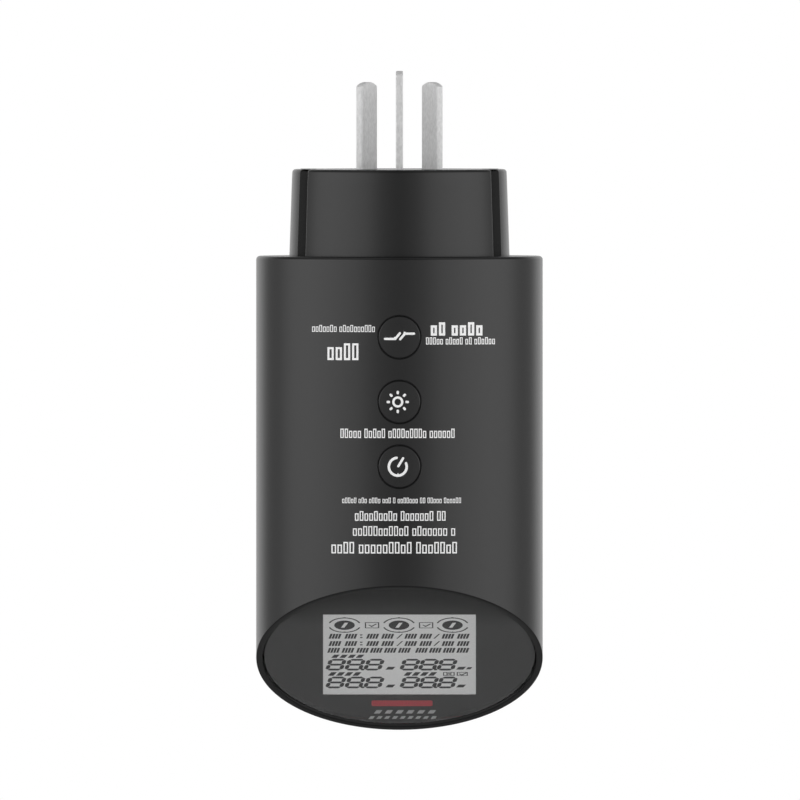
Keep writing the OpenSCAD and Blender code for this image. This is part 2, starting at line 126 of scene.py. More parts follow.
view_wide, view_far, view_x, view_z, tilt = 0.1675, 0.6, 0.000115, -0.04835, math.radians(0.5)
camera_data = bpy.data.cameras.new("camera")
camera_data.type = "ORTHO"
camera_data.ortho_scale = view_wide
camera_data.clip_end = 5
camera = bpy.data.objects.new("camera", camera_data)
scene.collection.objects.link(camera)
camera.location = (view_x, -view_far * math.cos(tilt), view_z + view_far * math.sin(tilt))
camera.rotation_euler = (math.pi / 2 - tilt, 0, 0)
scene.camera = camera


def finish(name, colour, rough, metal=0.0, grain=2500, vary=0.12, bump=0.1, depth=0.00002,
           stops=None, along=None, **sockets):
    """Material with fine grain in its colour, its roughness and its surface.

    grain is how many grains there are to the metre, one number or one for each
    axis. stops paints bands of colour over the axis and range given in along.
    """
    made = bpy.data.materials.new(name)
    made.use_nodes = True
    tree = made.node_tree
    skin = tree.nodes["Principled BSDF"]
    skin.inputs["Metallic"].default_value = metal
    for key, value in sockets.items():
        skin.inputs[key.replace("_", " ")].default_value = value
    place = node(tree, "ShaderNodeTexCoord").outputs["Object"]
    scale = node(tree, "ShaderNodeMapping")
    scale.inputs["Scale"].default_value = grain if isinstance(grain, tuple) else (grain,) * 3
    tree.links.new(place, scale.inputs["Vector"])
    noise = node(tree, "ShaderNodeTexNoise", Scale=1.0, Detail=3.0)
    tree.links.new(scale.outputs[0], noise.inputs["Vector"])
    grainy = noise.outputs["Fac"]
    if stops:
        axis, low, high = along
        bands = ramp(tree, mapped(tree, parts_of(tree, place)[axis], low, high), stops)
        bands.node.color_ramp.interpolation = "CONSTANT"
        paint = node(tree, "ShaderNodeMix", data_type="RGBA", blend_type="MULTIPLY")
        paint.inputs[0].default_value = 1.0
        tree.links.new(bands, paint.inputs[6])
        tree.links.new(ramp(tree, grainy, [(0.3, 1 - vary), (0.7, 1.0)]), paint.inputs[7])
        tree.links.new(paint.outputs[2], skin.inputs["Base Color"])
    else:
        low, high = (tuple(c * k for c in colour) for k in (1 - vary, 1 + vary))
        tree.links.new(ramp(tree, grainy, [(0.3, low), (0.7, high)]), skin.inputs["Base Color"])
    tree.links.new(mapped(tree, grainy, 0, 1, rough * 0.9, rough * 1.1), skin.inputs["Roughness"])
    if bump:
        relief = node(tree, "ShaderNodeBump", Strength=bump, Distance=depth)
        tree.links.new(grainy, relief.inputs["Height"])
        tree.links.new(relief.outputs[0], skin.inputs["Normal"])
    return made


floor_z, floor_half = -0.24, 2.5
floor_mesh = bpy.data.meshes.new("floor")
floor_mesh.from_pydata([(x * floor_half, y * floor_half, floor_z)
                        for x, y in ((-1, -1), (1, -1), (1, 1), (-1, 1))], [], [(0, 1, 2, 3)])
floor = bpy.data.objects.new("floor", floor_mesh)
scene.collection.objects.link(floor)
floor_mesh.materials.append(finish("pale_paper", (0.62, 0.62, 0.62), 0.9, grain=40, vary=0.01, bump=0))

# ---------- Barrel ----------
# Injection-moulded black ABS tube with a shoulder at the plug end and a slanted
# open end. The mould leaves a fine satin grain, and every edge is broken.
barrel_r, bore_r = 30.0, 27.6
shoulder_z, bore_top, shoulder_round = -18.15, -21.75, 0.8
neck_hole_r = 23.15
cut_z, cut_angle = -102.45, math.radians(27)
slope = math.tan(cut_angle)
seat_r, seat_depth = 28.7, 2.3
rim_edge = 0.18
button_z = (-34.95, -48.5, -62.05)
BOARD_POSTS = (-26.7, -70.1)
TRAY_POSTS = [(x, z) for x in (17, -17) for z in (-37, -83)]
post_r, post_hole_r = 2.4, 0.8
hole_r, hole_edge, pad_y, pad_r = 4.6, 0.16, -26.7, 6.4
door_half, door_half_z, door_mid, door_corner, door_edge = 11.6, 29.25, -63.85, 0.7, 0.2
COLUMNS = [-90 + 2 * i for i in range(181)]
TURNS = COLUMNS[:-1]


class Shell:
    """A closed skin in millimetres, put together from rings and flat-cut sheets."""

    def __init__(self):
        self.points, self.faces = [], []

    def ring(self, points):
        start = len(self.points)
        self.points += [Vector(p) for p in points]
        return list(range(start, len(self.points)))

    def wrap(self, *rings):
        rings = [self.ring(r) for r in rings]
        for a, b in zip(rings, rings[1:]):
            for i in range(len(a)):
                j = (i + 1) % len(a)
                self.faces.append((a[i], a[j], b[j], b[i]))

    def lid(self, points):
        self.faces.append(tuple(self.ring(points)))

    def sheet(self, outlines, spots, keep, place):
        flat, edges = [], []
        for line in outlines:
            start, n = len(flat), len(line)
            flat += line
            edges += [(start + i, start + (i + 1) % n) for i in range(n)]
        made = delaunay_2d_cdt([Vector(p) for p in flat + spots], edges, [], 0, 1e-6)
        start = len(self.points)
        self.points += [Vector(place(p[0], p[1])) for p in made[0]]
        for face in made[2]:
            x, y = (sum(made[0][i][k] for i in face) / 3 for k in (0, 1))
            if keep(x, y):
                self.faces.append(tuple(start + i for i in face))

    def make(self, name, material, body, *replaced, slot=None, sharp=38, true=None):
        mesh = bpy.data.meshes.new(name)
        mesh.from_pydata([p * 0.001 for p in self.points], [], self.faces)
        work = bmesh.new()
        work.from_mesh(mesh)
        bmesh.ops.remove_doubles(work, verts=work.verts, dist=2e-6)
        bmesh.ops.recalc_face_normals(work, faces=work.faces)
        work.to_mesh(mesh)
        work.free()
        mesh.validate()
        mesh.polygons.foreach_set("use_smooth", [True] * len(mesh.polygons))
        mesh.set_sharp_from_angle(angle=math.radians(sharp))
        obj = bpy.data.objects.new(name, mesh)
        scene.collection.objects.link(obj)
        mesh.materials.append(material)
        if true:
            aim = [Vector(c.vector) for c in mesh.corner_normals]
            for corner in mesh.loops:
                spot = mesh.vertices[corner.vertex_index].co * 1000
                ideal = true(spot)
                if ideal is not None and ideal.angle(aim[corner.index]) < math.radians(30):
                    aim[corner.index] = ideal
            mesh.normals_split_custom_set(aim)
        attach(obj, body)
        if replaced:
            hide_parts(*replaced)
        return obj


def on_skin(radius):
    """The exact normal of points that lie on an upright cylinder."""
    def normal(spot):
        if abs(math.hypot(spot.x, spot.y) - radius) < 0.004:
            return Vector((spot.x, spot.y, 0)).normalized()
        return None
    return normal


def around_z(radius, angle, z):
    a = math.radians(angle)
    return (radius * math.sin(a), -radius * math.cos(a), z)


def rim_z(radius, angle, depth=0.0):
    """Height of the slanted face at a radius and angle, at a depth below the rim."""
    return cut_z + slope * radius * math.cos(math.radians(angle)) + depth / math.cos(cut_angle)


def arc(steps):
    """Sine and cosine pairs of a quarter round."""
    return [(math.sin(math.pi / 2 * i / steps), math.cos(math.pi / 2 * i / steps)) for i in range(steps + 1)]


def circle(radius, count, x=0.0, y=0.0):
    return [(x + radius * math.cos(2 * math.pi * i / count), y + radius * math.sin(2 * math.pi * i / count))
            for i in range(count)]


def rounded_box(half_x, half_y, corner, x=0.0, y=0.0, corner_steps=5, side=2.0):
    """Outline of a rectangle with round corners, and a point every side along it."""
    outline = []
    for quarter, (sx, sy) in enumerate(((1, 1), (-1, 1), (-1, -1), (1, -1))):
        cx, cy = x + sx * (half_x - corner), y + sy * (half_y - corner)
        for i in range(corner_steps + 1):
            a = math.pi / 2 * (quarter + i / corner_steps)
            outline.append((cx + corner * math.cos(a), cy + corner * math.sin(a)))
        run = 2 * ((half_x, half_y)[quarter % 2] - corner)
        heading = ((-1, 0), (0, -1), (1, 0), (0, 1))[quarter]
        last = outline[-1]
        count = max(1, round(run / side))
        outline += [(last[0] + heading[0] * run * i / count, last[1] + heading[1] * run * i / count)
                    for i in range(1, count)]
    return outline


def unroll(x, side_sign, radius):
    """Distance round the barrel, from its front, of a point at x on front or back."""
    a = math.asin(x / radius)
    return radius * (a if side_sign < 0 else math.pi - a)


def edge_between(spot, line):
    """Height of a row of points at a distance along it."""
    i = min(max(int((spot - line[0][0]) / (line[1][0] - line[0][0])), 0), len(line) - 2)
    (x0, z0), (x1, z1) = line[i], line[i + 1]
    return z0 + (z1 - z0) * (spot - x0) / (x1 - x0)


def barrel_sheet(shell, radius, top, bottom, holes, door, rows):
    """One skin of the barrel, cut out round its button holes and its door."""
    step = radius * math.radians(1)
    cols = [c * step for c in COLUMNS]
    low = list(zip(cols, bottom))
    seam = [top + (bottom[0] - top) * k / rows for k in range(1, rows)]
    outline = [(c, top) for c in cols] + [(cols[-1], z) for z in seam]
    outline += low[::-1] + [(cols[0], z) for z in seam[::-1]]
    cuts = [[(unroll(x, -1, radius), z) for x, z in circle(holes, 64, 0, hole_z)] for hole_z in button_z]
    cuts.append([(unroll(x, 1, radius), z) for x, z in door])
    door_lo, door_hi = min(p[1] for p in door), max(p[1] for p in door)
    near = max(abs(s - math.pi * radius) for s, z in cuts[-1])

    def clear(s, z, room):
        if abs(s) < radius and any(math.hypot(radius * math.sin(s / radius), z - hole_z) < holes + room
                                   for hole_z in button_z):
            return False
        return not (abs(s - math.pi * radius) < near + room and door_lo - room < z < door_hi + room)

    spot_room, edge_slack = 0.55, -0.001 * radius
    spots = [(c, top + (end - top) * k / rows) for c, end in low[1:-1] for k in range(1, rows)
             if clear(c, top + (end - top) * k / rows, spot_room)]
    shell.sheet([outline] + cuts, spots,
                lambda s, z: z > edge_between(s, low) + 1e-5 and clear(s, z, edge_slack),
                lambda s, z: (radius * math.sin(s / radius), -radius * math.cos(s / radius), z))


def in_round(radius, points, side_sign, inset=0.0):
    """Points given as x and z, put on the barrel's front or back skin."""
    return [(x, side_sign * (math.sqrt(radius ** 2 - x ** 2) - inset), z) for x, z in points]


def door_outline(grow):
    return rounded_box(door_half + grow, door_half_z + grow, door_corner + grow, 0, door_mid)


black_plastic = finish("black_moulded_plastic", (0.0045, 0.0045, 0.0046), 0.25, grain=3800, vary=0.15,
                       bump=0.16)
barrel = Shell()
top_rows = [(barrel_r - shoulder_round + shoulder_round * c, shoulder_z - shoulder_round + shoulder_round * s)
            for s, c in arc(6)]
top_rows += [(neck_hole_r + 0.2, shoulder_z), (neck_hole_r + 0.06, shoulder_z - 0.06),
             (neck_hole_r, shoulder_z - 0.2), (neck_hole_r, bore_top), (bore_r, bore_top)]
barrel.wrap(*[[around_z(r, a, z) for a in TURNS] for r, z in top_rows])

bend = [(rim_edge * (k / 6) ** 2, rim_edge * (1 - k / 6) ** 2) for k in range(7)]
rim_rows = [[around_z(barrel_r - inward, a, rim_z(barrel_r - inward, a) + up) for a in TURNS]
            for inward, up in bend]
for radius, depth in ((seat_r + 0.18, 0), (seat_r + 0.05, 0.05), (seat_r, 0.18), (seat_r, seat_depth),
                      (bore_r, seat_depth)):
    rim_rows.append([around_z(radius, a, rim_z(radius, a, depth)) for a in TURNS])
barrel.wrap(*rim_rows)

barrel_sheet(barrel, barrel_r, shoulder_z - shoulder_round, [rim_z(barrel_r, a) + rim_edge for a in COLUMNS],
             hole_r + hole_edge, door_outline(door_edge), 34)
barrel_sheet(barrel, bore_r, bore_top, [rim_z(bore_r, a, seat_depth) for a in COLUMNS],
             pad_r, door_outline(0), 24)
for z in button_z:
    rows = [in_round(barrel_r, circle(hole_r + hole_edge * (1 - s), 64, 0, z), -1, hole_edge * (1 - c))
            for s, c in arc(4)]
    rows += [[(x, pad_y, w) for x, w in circle(r, 64, 0, z)] for r in (hole_r, pad_r)]
    rows.append(in_round(bore_r, circle(pad_r, 64, 0, z), -1))
    barrel.wrap(*rows)
barrel.wrap(*[in_round(barrel_r, door_outline(door_edge * (1 - s)), 1, door_edge * (1 - c)) for s, c in arc(4)],
            in_round(bore_r, door_outline(0), 1))


def tube(shell, centre, axis, length, outer, inner, bottom):
    """Screw post: a tube with a round hole down to a blind bottom, and soft edges."""
    axis = Vector(axis).normalized()
    across = axis.orthogonal().normalized()
    other = axis.cross(across)
    soft = 0.2
    rows = [(0.01, 0), (outer, 0), (outer, length - soft), (outer - soft * 0.3, length - soft * 0.3),
            (outer - soft, length), (inner + 0.1, length), (inner, length - 0.1), (inner, bottom),
            (0.01, bottom)]
    rings = [[Vector(centre) + axis * h + across * x + other * y for x, y in circle(r, 28)] for r, h in rows]
    shell.wrap(*rings)
    shell.lid(rings[0])
    shell.lid(rings[-1][::-1])


for z in BOARD_POSTS:
    tube(barrel, (0, -28.6, z), (0, 1, 0), 8.1, post_r, post_hole_r, 2.6)
for x, z in TRAY_POSTS:
    tube(barrel, (x, 22.5, z), (0, -1, 0), 8.5, post_r, post_hole_r, 3.7)
shell_piece = barrel.make("barrel_shell", black_plastic, "body", "housing", slot="barrel_plastic",
                          true=on_skin(barrel_r))

# The cut rim is left coarser and duller than the sides
dull_plastic = finish("black_rim_plastic", (0.004, 0.004, 0.0041), 0.5, grain=3800, vary=0.15, bump=0.2,
                      Specular_IOR_Level=0.25)
shell_piece.data.materials.append(dull_plastic)
rim_room = 0.06
for face in shell_piece.data.polygons:
    spot = face.center * 1000
    over_rim = spot.z - (cut_z - slope * spot.y)
    if abs(over_rim) < rim_edge + rim_room and math.hypot(spot.x, spot.y) > seat_r:
        face.material_index = 1

# ---------- Plug base ----------
# Black moulded neck that carries the pins. Its sides taper, four stepped grip
# notches run down them, and two low studs stand on the face.
neck_top_r, neck_base_r, face_round, face_t = 22.45, 23.05, 0.7, 4.2
notch_near, notch_far = math.radians(60.0), math.radians(67.8)
edge_run, edge_drop = math.radians(2.2), 0.3
neck_bore_r, flange_r, flange_z = 19.6, 27.3, -23.95
stud_x, stud_r, stud_h, stud_edge = 19.0, 1.75, 0.1, 0.06
CLAMP_POSTS = ((0, 15.5), (14, -8), (-14, -8))
slot_room = 0.05
PINS = ((30, 7.92, 90), (150, 7.92, 90), (270, 10.31, 0))
pin_half_w, pin_half_t, pin_round = 3.2, 0.75, 0.25


def neck_skin(radius, angle):
    """Radius of the neck's side at an angle, stepping in where a notch runs."""
    a = math.radians(90 - abs(90 - angle % 180))
    if notch_near < a < notch_far:
        side_wall = (radius - edge_drop) * math.sin(notch_near) / math.sin(a)
        return min(radius, max(side_wall, radius * math.cos(notch_far) / math.cos(a)))
    return radius - (edge_drop * max(1 - (notch_near - a) / edge_run, 0) ** 2 if a <= notch_near else 0)


def turned(x, y, angle):
    a = math.radians(angle)
    return x * math.cos(a) - y * math.sin(a), x * math.sin(a) + y * math.cos(a)


def pin_place(i, x, y):
    """A point across and through blade i, put where that blade stands."""
    angle, offset, turn = PINS[i]
    x, y = turned(x, y, turn)
    return turned(x + offset, y, angle)


def in_slot(x, y):
    room = slot_room - 0.01
    for angle, offset, turn in PINS:
        u, v = turned(x, y, -angle)
        u, v = turned(u - offset, v, -turn)
        if abs(u) < pin_half_w + room and abs(v) < pin_half_t + room:
            return True
    return False


# The ring of points is finer where a notch runs
NOTCH_STEPS = (57.8, 58.3, 58.8, 59.2, 59.6, 59.85, 60.0, 61.5, 63.0, 64.5, 66.15, 66.5, 67.0, 67.4, 67.8)
neck_angles = sorted({turn % 360 for a in NOTCH_STEPS for turn in (a, 180 - a, 180 + a, -a)}
                     | {a for a in range(0, 360, 2) if not 57 < 90 - abs(90 - a % 180) < 68.5})
neck = Shell()
neck_rows = [[around_z(neck_skin(neck_top_r, a) - face_round + face_round * s, a, -face_round + face_round * c)
              for a in neck_angles] for s, c in arc(6)]
for k in range(1, 10):
    z = -face_round + (shoulder_z + face_round) * k / 9
    r = neck_top_r + (neck_base_r - neck_top_r) * z / shoulder_z
    neck_rows.append([around_z(neck_skin(r, a), a, z) for a in neck_angles])
for r, z in ((neck_base_r, shoulder_z - 0.1), (neck_base_r, bore_top), (flange_r, bore_top),
             (flange_r, flange_z), (neck_bore_r, flange_z), (neck_bore_r, -face_t)):
    neck_rows.append([around_z(r, a, z) for a in neck_angles])
neck.wrap(*neck_rows)
slots = [[pin_place(i, x, y) for x, y in rounded_box(pin_half_w + slot_room, pin_half_t + slot_room, pin_round)]
         for i in range(len(PINS))]
studs = [circle(stud_r, 40, side * stud_x) for side in (-1, 1)]
neck.sheet([[p[:2] for p in neck_rows[0]]] + slots + studs, [],
           lambda x, y: not in_slot(x, y) and math.hypot(abs(x) - stud_x, y) > stud_r - 0.01,
           lambda x, y: (x, y, 0))
neck.sheet([[p[:2] for p in neck_rows[-1]]] + slots, [],
           lambda x, y: not in_slot(x, y), lambda x, y: (x, y, -face_t))
for line in slots:
    neck.wrap([(x, y, 0) for x, y in line], [(x, y, -face_t) for x, y in line])
for side in (-1, 1):
    rows = [[(x, y, z) for x, y in circle(stud_r - inset, 40, side * stud_x)]
            for inset, z in ((0, 0), (0, stud_h - stud_edge), (stud_edge / 3, stud_h - stud_edge / 3),
                             (stud_edge, stud_h))]
    neck.wrap(*rows)
    neck.lid(rows[-1])
for x, y in CLAMP_POSTS:
    tube(neck, (x, y, -3.4), (0, 0, -1), 2.3, 2.4, 1.0, 0.9)
neck_plastic = finish("neck_moulded_plastic", (0.005, 0.005, 0.005), 0.24, grain=3000, vary=0.15, bump=0.14,
                      Specular_IOR_Level=0.42)
neck.make("plug_neck", neck_plastic, "body", "plug_base", slot="neck_plastic")

# ---------- Pins ----------
# Three flat blades, nickel plated on brass, blanked from strip and tumbled so
# that their edges are soft. Each tip is a shallow arch.
tip_rise, head_z, tail_z = 0.85, (-5.7, -4.2), -11
head_half, tail_half = (4.5, 1.5), (1.5, 0.5)
pin_side, least_round = 0.45, 0.02
crown_r = (pin_half_w ** 2 + tip_rise ** 2) / (2 * tip_rise)
nickel = finish("satin_nickel", (0.68, 0.68, 0.68), 0.5, metal=0.3, grain=(2400, 2400, 1100), vary=0.11,
                bump=0.16, depth=0.00003)


def block(shell, half, low, high, put):
    """A plain closed block between two heights, in a blade's own place."""
    corners = [(x * half[0], y * half[1]) for x, y in ((-1, -1), (1, -1), (1, 1), (-1, 1))]
    rings = [[(*put(x, y), z) for x, y in corners] for z in (low, high)]
    shell.wrap(*rings)
    shell.lid(rings[0][::-1])
    shell.lid(rings[1])


for i, (pin_name, length) in enumerate((("pin_live", 18.2), ("pin_neutral", 18.2), ("pin_earth", 20.65))):
    blade = Shell()

    def put(x, y, i=i):
        return pin_place(i, x, y)

    def crown(x, length=length):
        return length - crown_r + math.sqrt(crown_r ** 2 - x ** 2)

    outline = rounded_box(pin_half_w, pin_half_t, pin_round, side=pin_side)
    rows = [[(*put(x, y), head_z[1]) for x, y in outline]]
    for s, c in arc(5):
        inset = pin_round * (1 - c)
        smaller = rounded_box(pin_half_w - inset, pin_half_t - inset, max(pin_round - inset, least_round),
                              side=pin_side)
        rows.append([(*put(x, y), crown(ox) - pin_round * (1 - s))
                     for (x, y), (ox, _) in zip(smaller, outline)])
    top = rounded_box(pin_half_w - pin_round, pin_half_t - pin_round, least_round, side=pin_side)
    rows[-1] = [(*put(x, y), crown(x)) for x, y in top]
    blade.wrap(*rows)
    blade.lid(rows[0][::-1])
    blade.sheet([top], [], lambda x, y: True, lambda x, y: (*put(x, y), crown(x)))
    block(blade, head_half, head_z[0], head_z[1] - 0.01, put)
    block(blade, tail_half, tail_z, head_z[0] - 0.01, put)
    blade.make(pin_name + "_blade", nickel, "body", pin_name, slot="pin_metal")

# ---------- Push caps ----------
# Three round caps that follow the barrel's curve, moulded in the same black and
# held from behind by a flange. Each carries a printed white symbol.
cap_r, cap_edge, cap_skin_r = 4.4, 0.22, 29.985
flange_y, flange_back_y, cap_flange_r = -26.6, -25.8, 5.3
print_t = 0.03
cap_plastic = finish("cap_moulded_plastic", (0.0048, 0.0048, 0.005), 0.24, grain=3400, vary=0.12, bump=0.14)
white_ink = finish("white_pad_print", (0.95, 0.95, 0.95), 0.5, grain=5000, vary=0.04, bump=0.05)


def stroke(points, width, steps=8):
    """Outline of a line of even width with round ends and mitred bends."""
    def off(x, y, angle, reach=width / 2):
        return x + reach * math.cos(angle - math.pi / 2), y + reach * math.sin(angle - math.pi / 2)

    def side(points):
        line = []
        for (x0, y0), (x, y), (x1, y1) in zip(points, points[1:], points[2:]):
            a, b = math.atan2(y - y0, x - x0), math.atan2(y1 - y, x1 - x)
            mid = math.atan2(math.sin(a) + math.sin(b), math.cos(a) + math.cos(b))
            line.append(off(x, y, mid, width / 2 / max(math.cos((b - a) / 2), 0.5)))
        (x0, y0), (x, y) = points[-2:]
        a = math.atan2(y - y0, x - x0)
        return line + [off(x, y, a + math.pi * k / steps) for k in range(steps)]

    return side(points) + side(points[::-1])


def inside(x, y, line):
    hit = False
    for (x0, y0), (x1, y1) in zip(line, line[1:] + line[:1]):
        if (y0 > y) != (y1 > y) and x < (x1 - x0) * (y - y0) / (y1 - y0) + x0:
            hit = not hit
    return hit


def printed(shell, outlines, top, bottom):
    """A thin patch of ink between two skins, with the outlines after the first left open."""
    def keep(x, y):
        return inside(x, y, outlines[0]) and not any(inside(x, y, hole) for hole in outlines[1:])

    shell.sheet(outlines, [], keep, top)
    shell.sheet(outlines, [], keep, bottom)
    for line in outlines:
        shell.wrap([top(x, y) for x, y in line], [bottom(x, y) for x, y in line])


def on_front(radius):
    return lambda x, z: (x, -math.sqrt(radius ** 2 - x ** 2), z)


def moved(points, u, v):
    return [(x + u, y + v) for x, y in points]


def split(points, gap=0.3):
    """Extra points along a line, so that it can follow the curve."""
    line = []
    for (x0, y0), (x1, y1) in zip(points, points[1:]):
        n = max(1, round(math.hypot(x1 - x0, y1 - y0) / gap))
        line += [(x0 + (x1 - x0) * k / n, y0 + (y1 - y0) * k / n) for k in range(n)]
    return line + [points[-1]]


def ring_stroke(radius, width, start, end, steps=36):
    a = [math.radians(start + (end - start) * k / steps) for k in range(steps + 1)]
    return stroke([(radius * math.cos(t), radius * math.sin(t)) for t in a], width)


def ray(angle, near=1.86, far=2.09, width=0.53):
    return stroke(split([(r * math.cos(angle), r * math.sin(angle)) for r in (near, far)]), width)


symbol_x = -0.35
SYMBOLS = {
    "test": [[stroke(split([(-2.68, -0.35), (-0.54, -0.35), (0.44, 0.85)]), 0.48)],
             [stroke(split([(0.52, -0.40), (1.51, 0.75), (3.41, 0.75)]), 0.48)]],
    "light": [[circle(1.17, 36), circle(0.69, 28)]] + [[ray(math.pi / 4 * k)] for k in range(8)],
    "power": [[ring_stroke(1.87, 0.53, 98, 382)], [stroke(split([(0.12, 0.1), (1.1, 1.75)]), 0.5)]],
}
for z, cap_name in zip(button_z, SYMBOLS):
    cap = Shell()
    rows = [in_round(cap_skin_r, circle(r, 64, 0, z), -1) for r in (0.8, 1.8, 2.8, 3.6)]
    rows += [in_round(cap_skin_r, circle(cap_r - cap_edge + cap_edge * s, 64, 0, z), -1, cap_edge * (1 - c))
             for s, c in arc(5)]
    for r, y in ((cap_r, flange_y), (cap_flange_r - 0.1, flange_y), (cap_flange_r, flange_y + 0.1),
                 (cap_flange_r, flange_back_y)):
        rows.append([(x, y, w) for x, w in circle(r, 64, 0, z)])
    cap.wrap(*rows)
    cap.lid(rows[0][::-1])
    cap.lid(rows[-1])
    cap.make(cap_name + "_cap", cap_plastic, "button_" + cap_name, "cap_" + cap_name, slot="cap_plastic",
             true=on_skin(cap_skin_r))
    symbol = Shell()
    for outlines in SYMBOLS[cap_name]:
        lines = [moved(line, symbol_x, z) for line in outlines]
        printed(symbol, lines, on_front(cap_skin_r + print_t), on_front(cap_skin_r - print_t))
    symbol.make(cap_name + "_symbol", white_ink, "button_" + cap_name, slot="cap_plastic")

# ---------- Printed legends ----------
# Pad-printed white captions round the buttons. Every letter is the same plain
# open box, so there is nothing to read; one row of boxes stands for each caption.
LEGENDS = [  # left and right end, middle height, letters in each word, small-letter height, stroke
    (-18.39, -5.06, -33.3, (7, 10), 1.12, 0.15),
    (-15.28, -8.39, -38.4, (4,), 2.70, 0.42),
    (6.35, 17.58, -33.55, (2, 4), 2.15, 0.50),
    (5.48, 20.07, -35.9, (5, 5, 2, 6), 1.15, 0.17),
    (-12.47, 11.65, -55.3, (5, 5, 9, 6), 1.50, 0.20),
    (-12.07, 12.97, -69.25, (5, 3, 4, 3, 1, 7, 2, 5, 6), 0.88, 0.13),
    (-9.45, 9.77, -72.6, (9, 7, 2), 1.55, 0.21),
    (-9.87, 11.78, -75.75, (11, 7, 1), 1.55, 0.21),
    (-14.39, 12.18, -79.3, (4, 9, 7), 1.85, 0.25),
]
word_gap, letter_fill, tall_letter = 0.55, 0.76, 0.3
legend_points, legend_tall, legend_wide = [], [], []
draw = random.Random(7)
for left, right, middle, words, tall, wide in LEGENDS:
    pitch = (right - left) / (sum(words) + word_gap * (len(words) - 1))
    half = letter_fill * pitch / 2
    x = left + pitch / 2
    for letters in words:
        for _ in range(letters):
            high = tall * (1 + draw.choice((0.0, 0.0, 0.0, tall_letter, tall_letter)))
            low = middle - tall / 2
            run, side = 2 * half - wide, half - wide / 2
            for across, up, w, t in ((-side, high / 2, wide, high), (side, high / 2, wide, high),
                                     (0, wide / 2, run, wide), (0, high - wide / 2, run, wide)):
                legend_points.append((x + across, 0, low + up))
                legend_wide.append(w)
                legend_tall.append(t)
            x += pitch
        x += pitch * word_gap


def new_tree(name, *labels):
    """An empty geometry tree that takes a point cloud and some numbers."""
    tree = bpy.data.node_groups.new(name, "GeometryNodeTree")
    tree.interface.new_socket("Geometry", in_out="INPUT", socket_type="NodeSocketGeometry")
    for label in labels:
        tree.interface.new_socket(label, in_out="INPUT", socket_type="NodeSocketFloat")
    tree.interface.new_socket("Geometry", in_out="OUTPUT", socket_type="NodeSocketGeometry")
    return tree, tree.nodes.new("NodeGroupInput").outputs


def stamped(tree, points, shape, sizes, rotation=(0, 0, 0)):
    """Puts a real copy of a shape on every point; sizes are sockets by axis."""
    scale = node(tree, "ShaderNodeCombineXYZ", X=1.0, Y=1.0, Z=1.0)
    for axis, size in sizes.items():
        tree.links.new(size, scale.inputs[axis])
    place = node(tree, "GeometryNodeInstanceOnPoints", Rotation=rotation)
    tree.links.new(points, place.inputs["Points"])
    tree.links.new(shape.outputs["Mesh"], place.inputs["Instance"])
    tree.links.new(scale.outputs[0], place.inputs["Scale"])
    real = node(tree, "GeometryNodeRealizeInstances")
    tree.links.new(place.outputs[0], real.inputs[0])
    return real.outputs[0]


def painted(tree, geometry, material):
    """Gives the geometry its material and sends it out of the tree."""
    paint = node(tree, "GeometryNodeSetMaterial", Material=material)
    tree.links.new(geometry, paint.inputs["Geometry"])
    tree.links.new(paint.outputs[0], tree.nodes.new("NodeGroupOutput").inputs[0])
    return tree


def measure(tree, label):
    """A number that each point of the cloud carries."""
    return node(tree, "GeometryNodeInputNamedAttribute", data_type="FLOAT", Name=label).outputs[0]


def dash_tree(material):
    """Geometry nodes: an upright dash on every point, laid onto an upright cylinder."""
    tree, ins = new_tree("legend dashes", "Skin radius", "Ink thickness")
    dash = node(tree, "GeometryNodeMeshCube")
    dash.inputs["Vertices Z"].default_value = 4
    sizes = {"X": measure(tree, "wide"), "Y": ins["Ink thickness"], "Z": measure(tree, "tall")}
    dashes = stamped(tree, ins["Geometry"], dash, sizes)
    spot = parts_of(tree, node(tree, "GeometryNodeInputPosition").outputs[0])
    squares = [maths(tree, "POWER", value, 2.0) for value in (ins["Skin radius"], spot["X"])]
    depth = maths(tree, "SQRT", maths(tree, "SUBTRACT", *squares))
    joined = node(tree, "ShaderNodeCombineXYZ")
    for axis, value in (("X", spot["X"]), ("Y", maths(tree, "SUBTRACT", spot["Y"], depth)), ("Z", spot["Z"])):
        tree.links.new(value, joined.inputs[axis])
    lay = node(tree, "GeometryNodeSetPosition")
    tree.links.new(dashes, lay.inputs["Geometry"])
    tree.links.new(joined.outputs[0], lay.inputs["Position"])
    return painted(tree, lay.outputs[0], material)


def grown(name, points, tree, body, slot, inputs, **attributes):
    """Runs a tree over a cloud of points and keeps what it makes as a plain mesh."""
    cloud = bpy.data.meshes.new(name + "_points")
    cloud.from_pydata([tuple(c * 0.001 for c in p) for p in points], [], [])
    for label, values in attributes.items():
        cloud.attributes.new(label, "FLOAT", "POINT").data.foreach_set("value", [v * 0.001 for v in values])
    seed = bpy.data.objects.new(name, cloud)
    scene.collection.objects.link(seed)
    maker = seed.modifiers.new("maker", "NODES")
    maker.node_group = tree
    for item in tree.interface.items_tree:
        if item.in_out == "INPUT" and item.name in inputs:
            maker[item.identifier] = inputs[item.name]
    bpy.context.view_layer.update()
    mesh = bpy.data.meshes.new_from_object(seed.evaluated_get(bpy.context.evaluated_depsgraph_get()))
    bpy.data.objects.remove(seed)
    obj = bpy.data.objects.new(name, mesh)
    scene.collection.objects.link(obj)
    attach(obj, body)
    return obj


grown("barrel_legends", legend_points, dash_tree(white_ink), "body", "barrel_plastic",
      {"Skin radius": 0.03, "Ink thickness": 0.00004}, tall=legend_tall, wide=legend_wide)

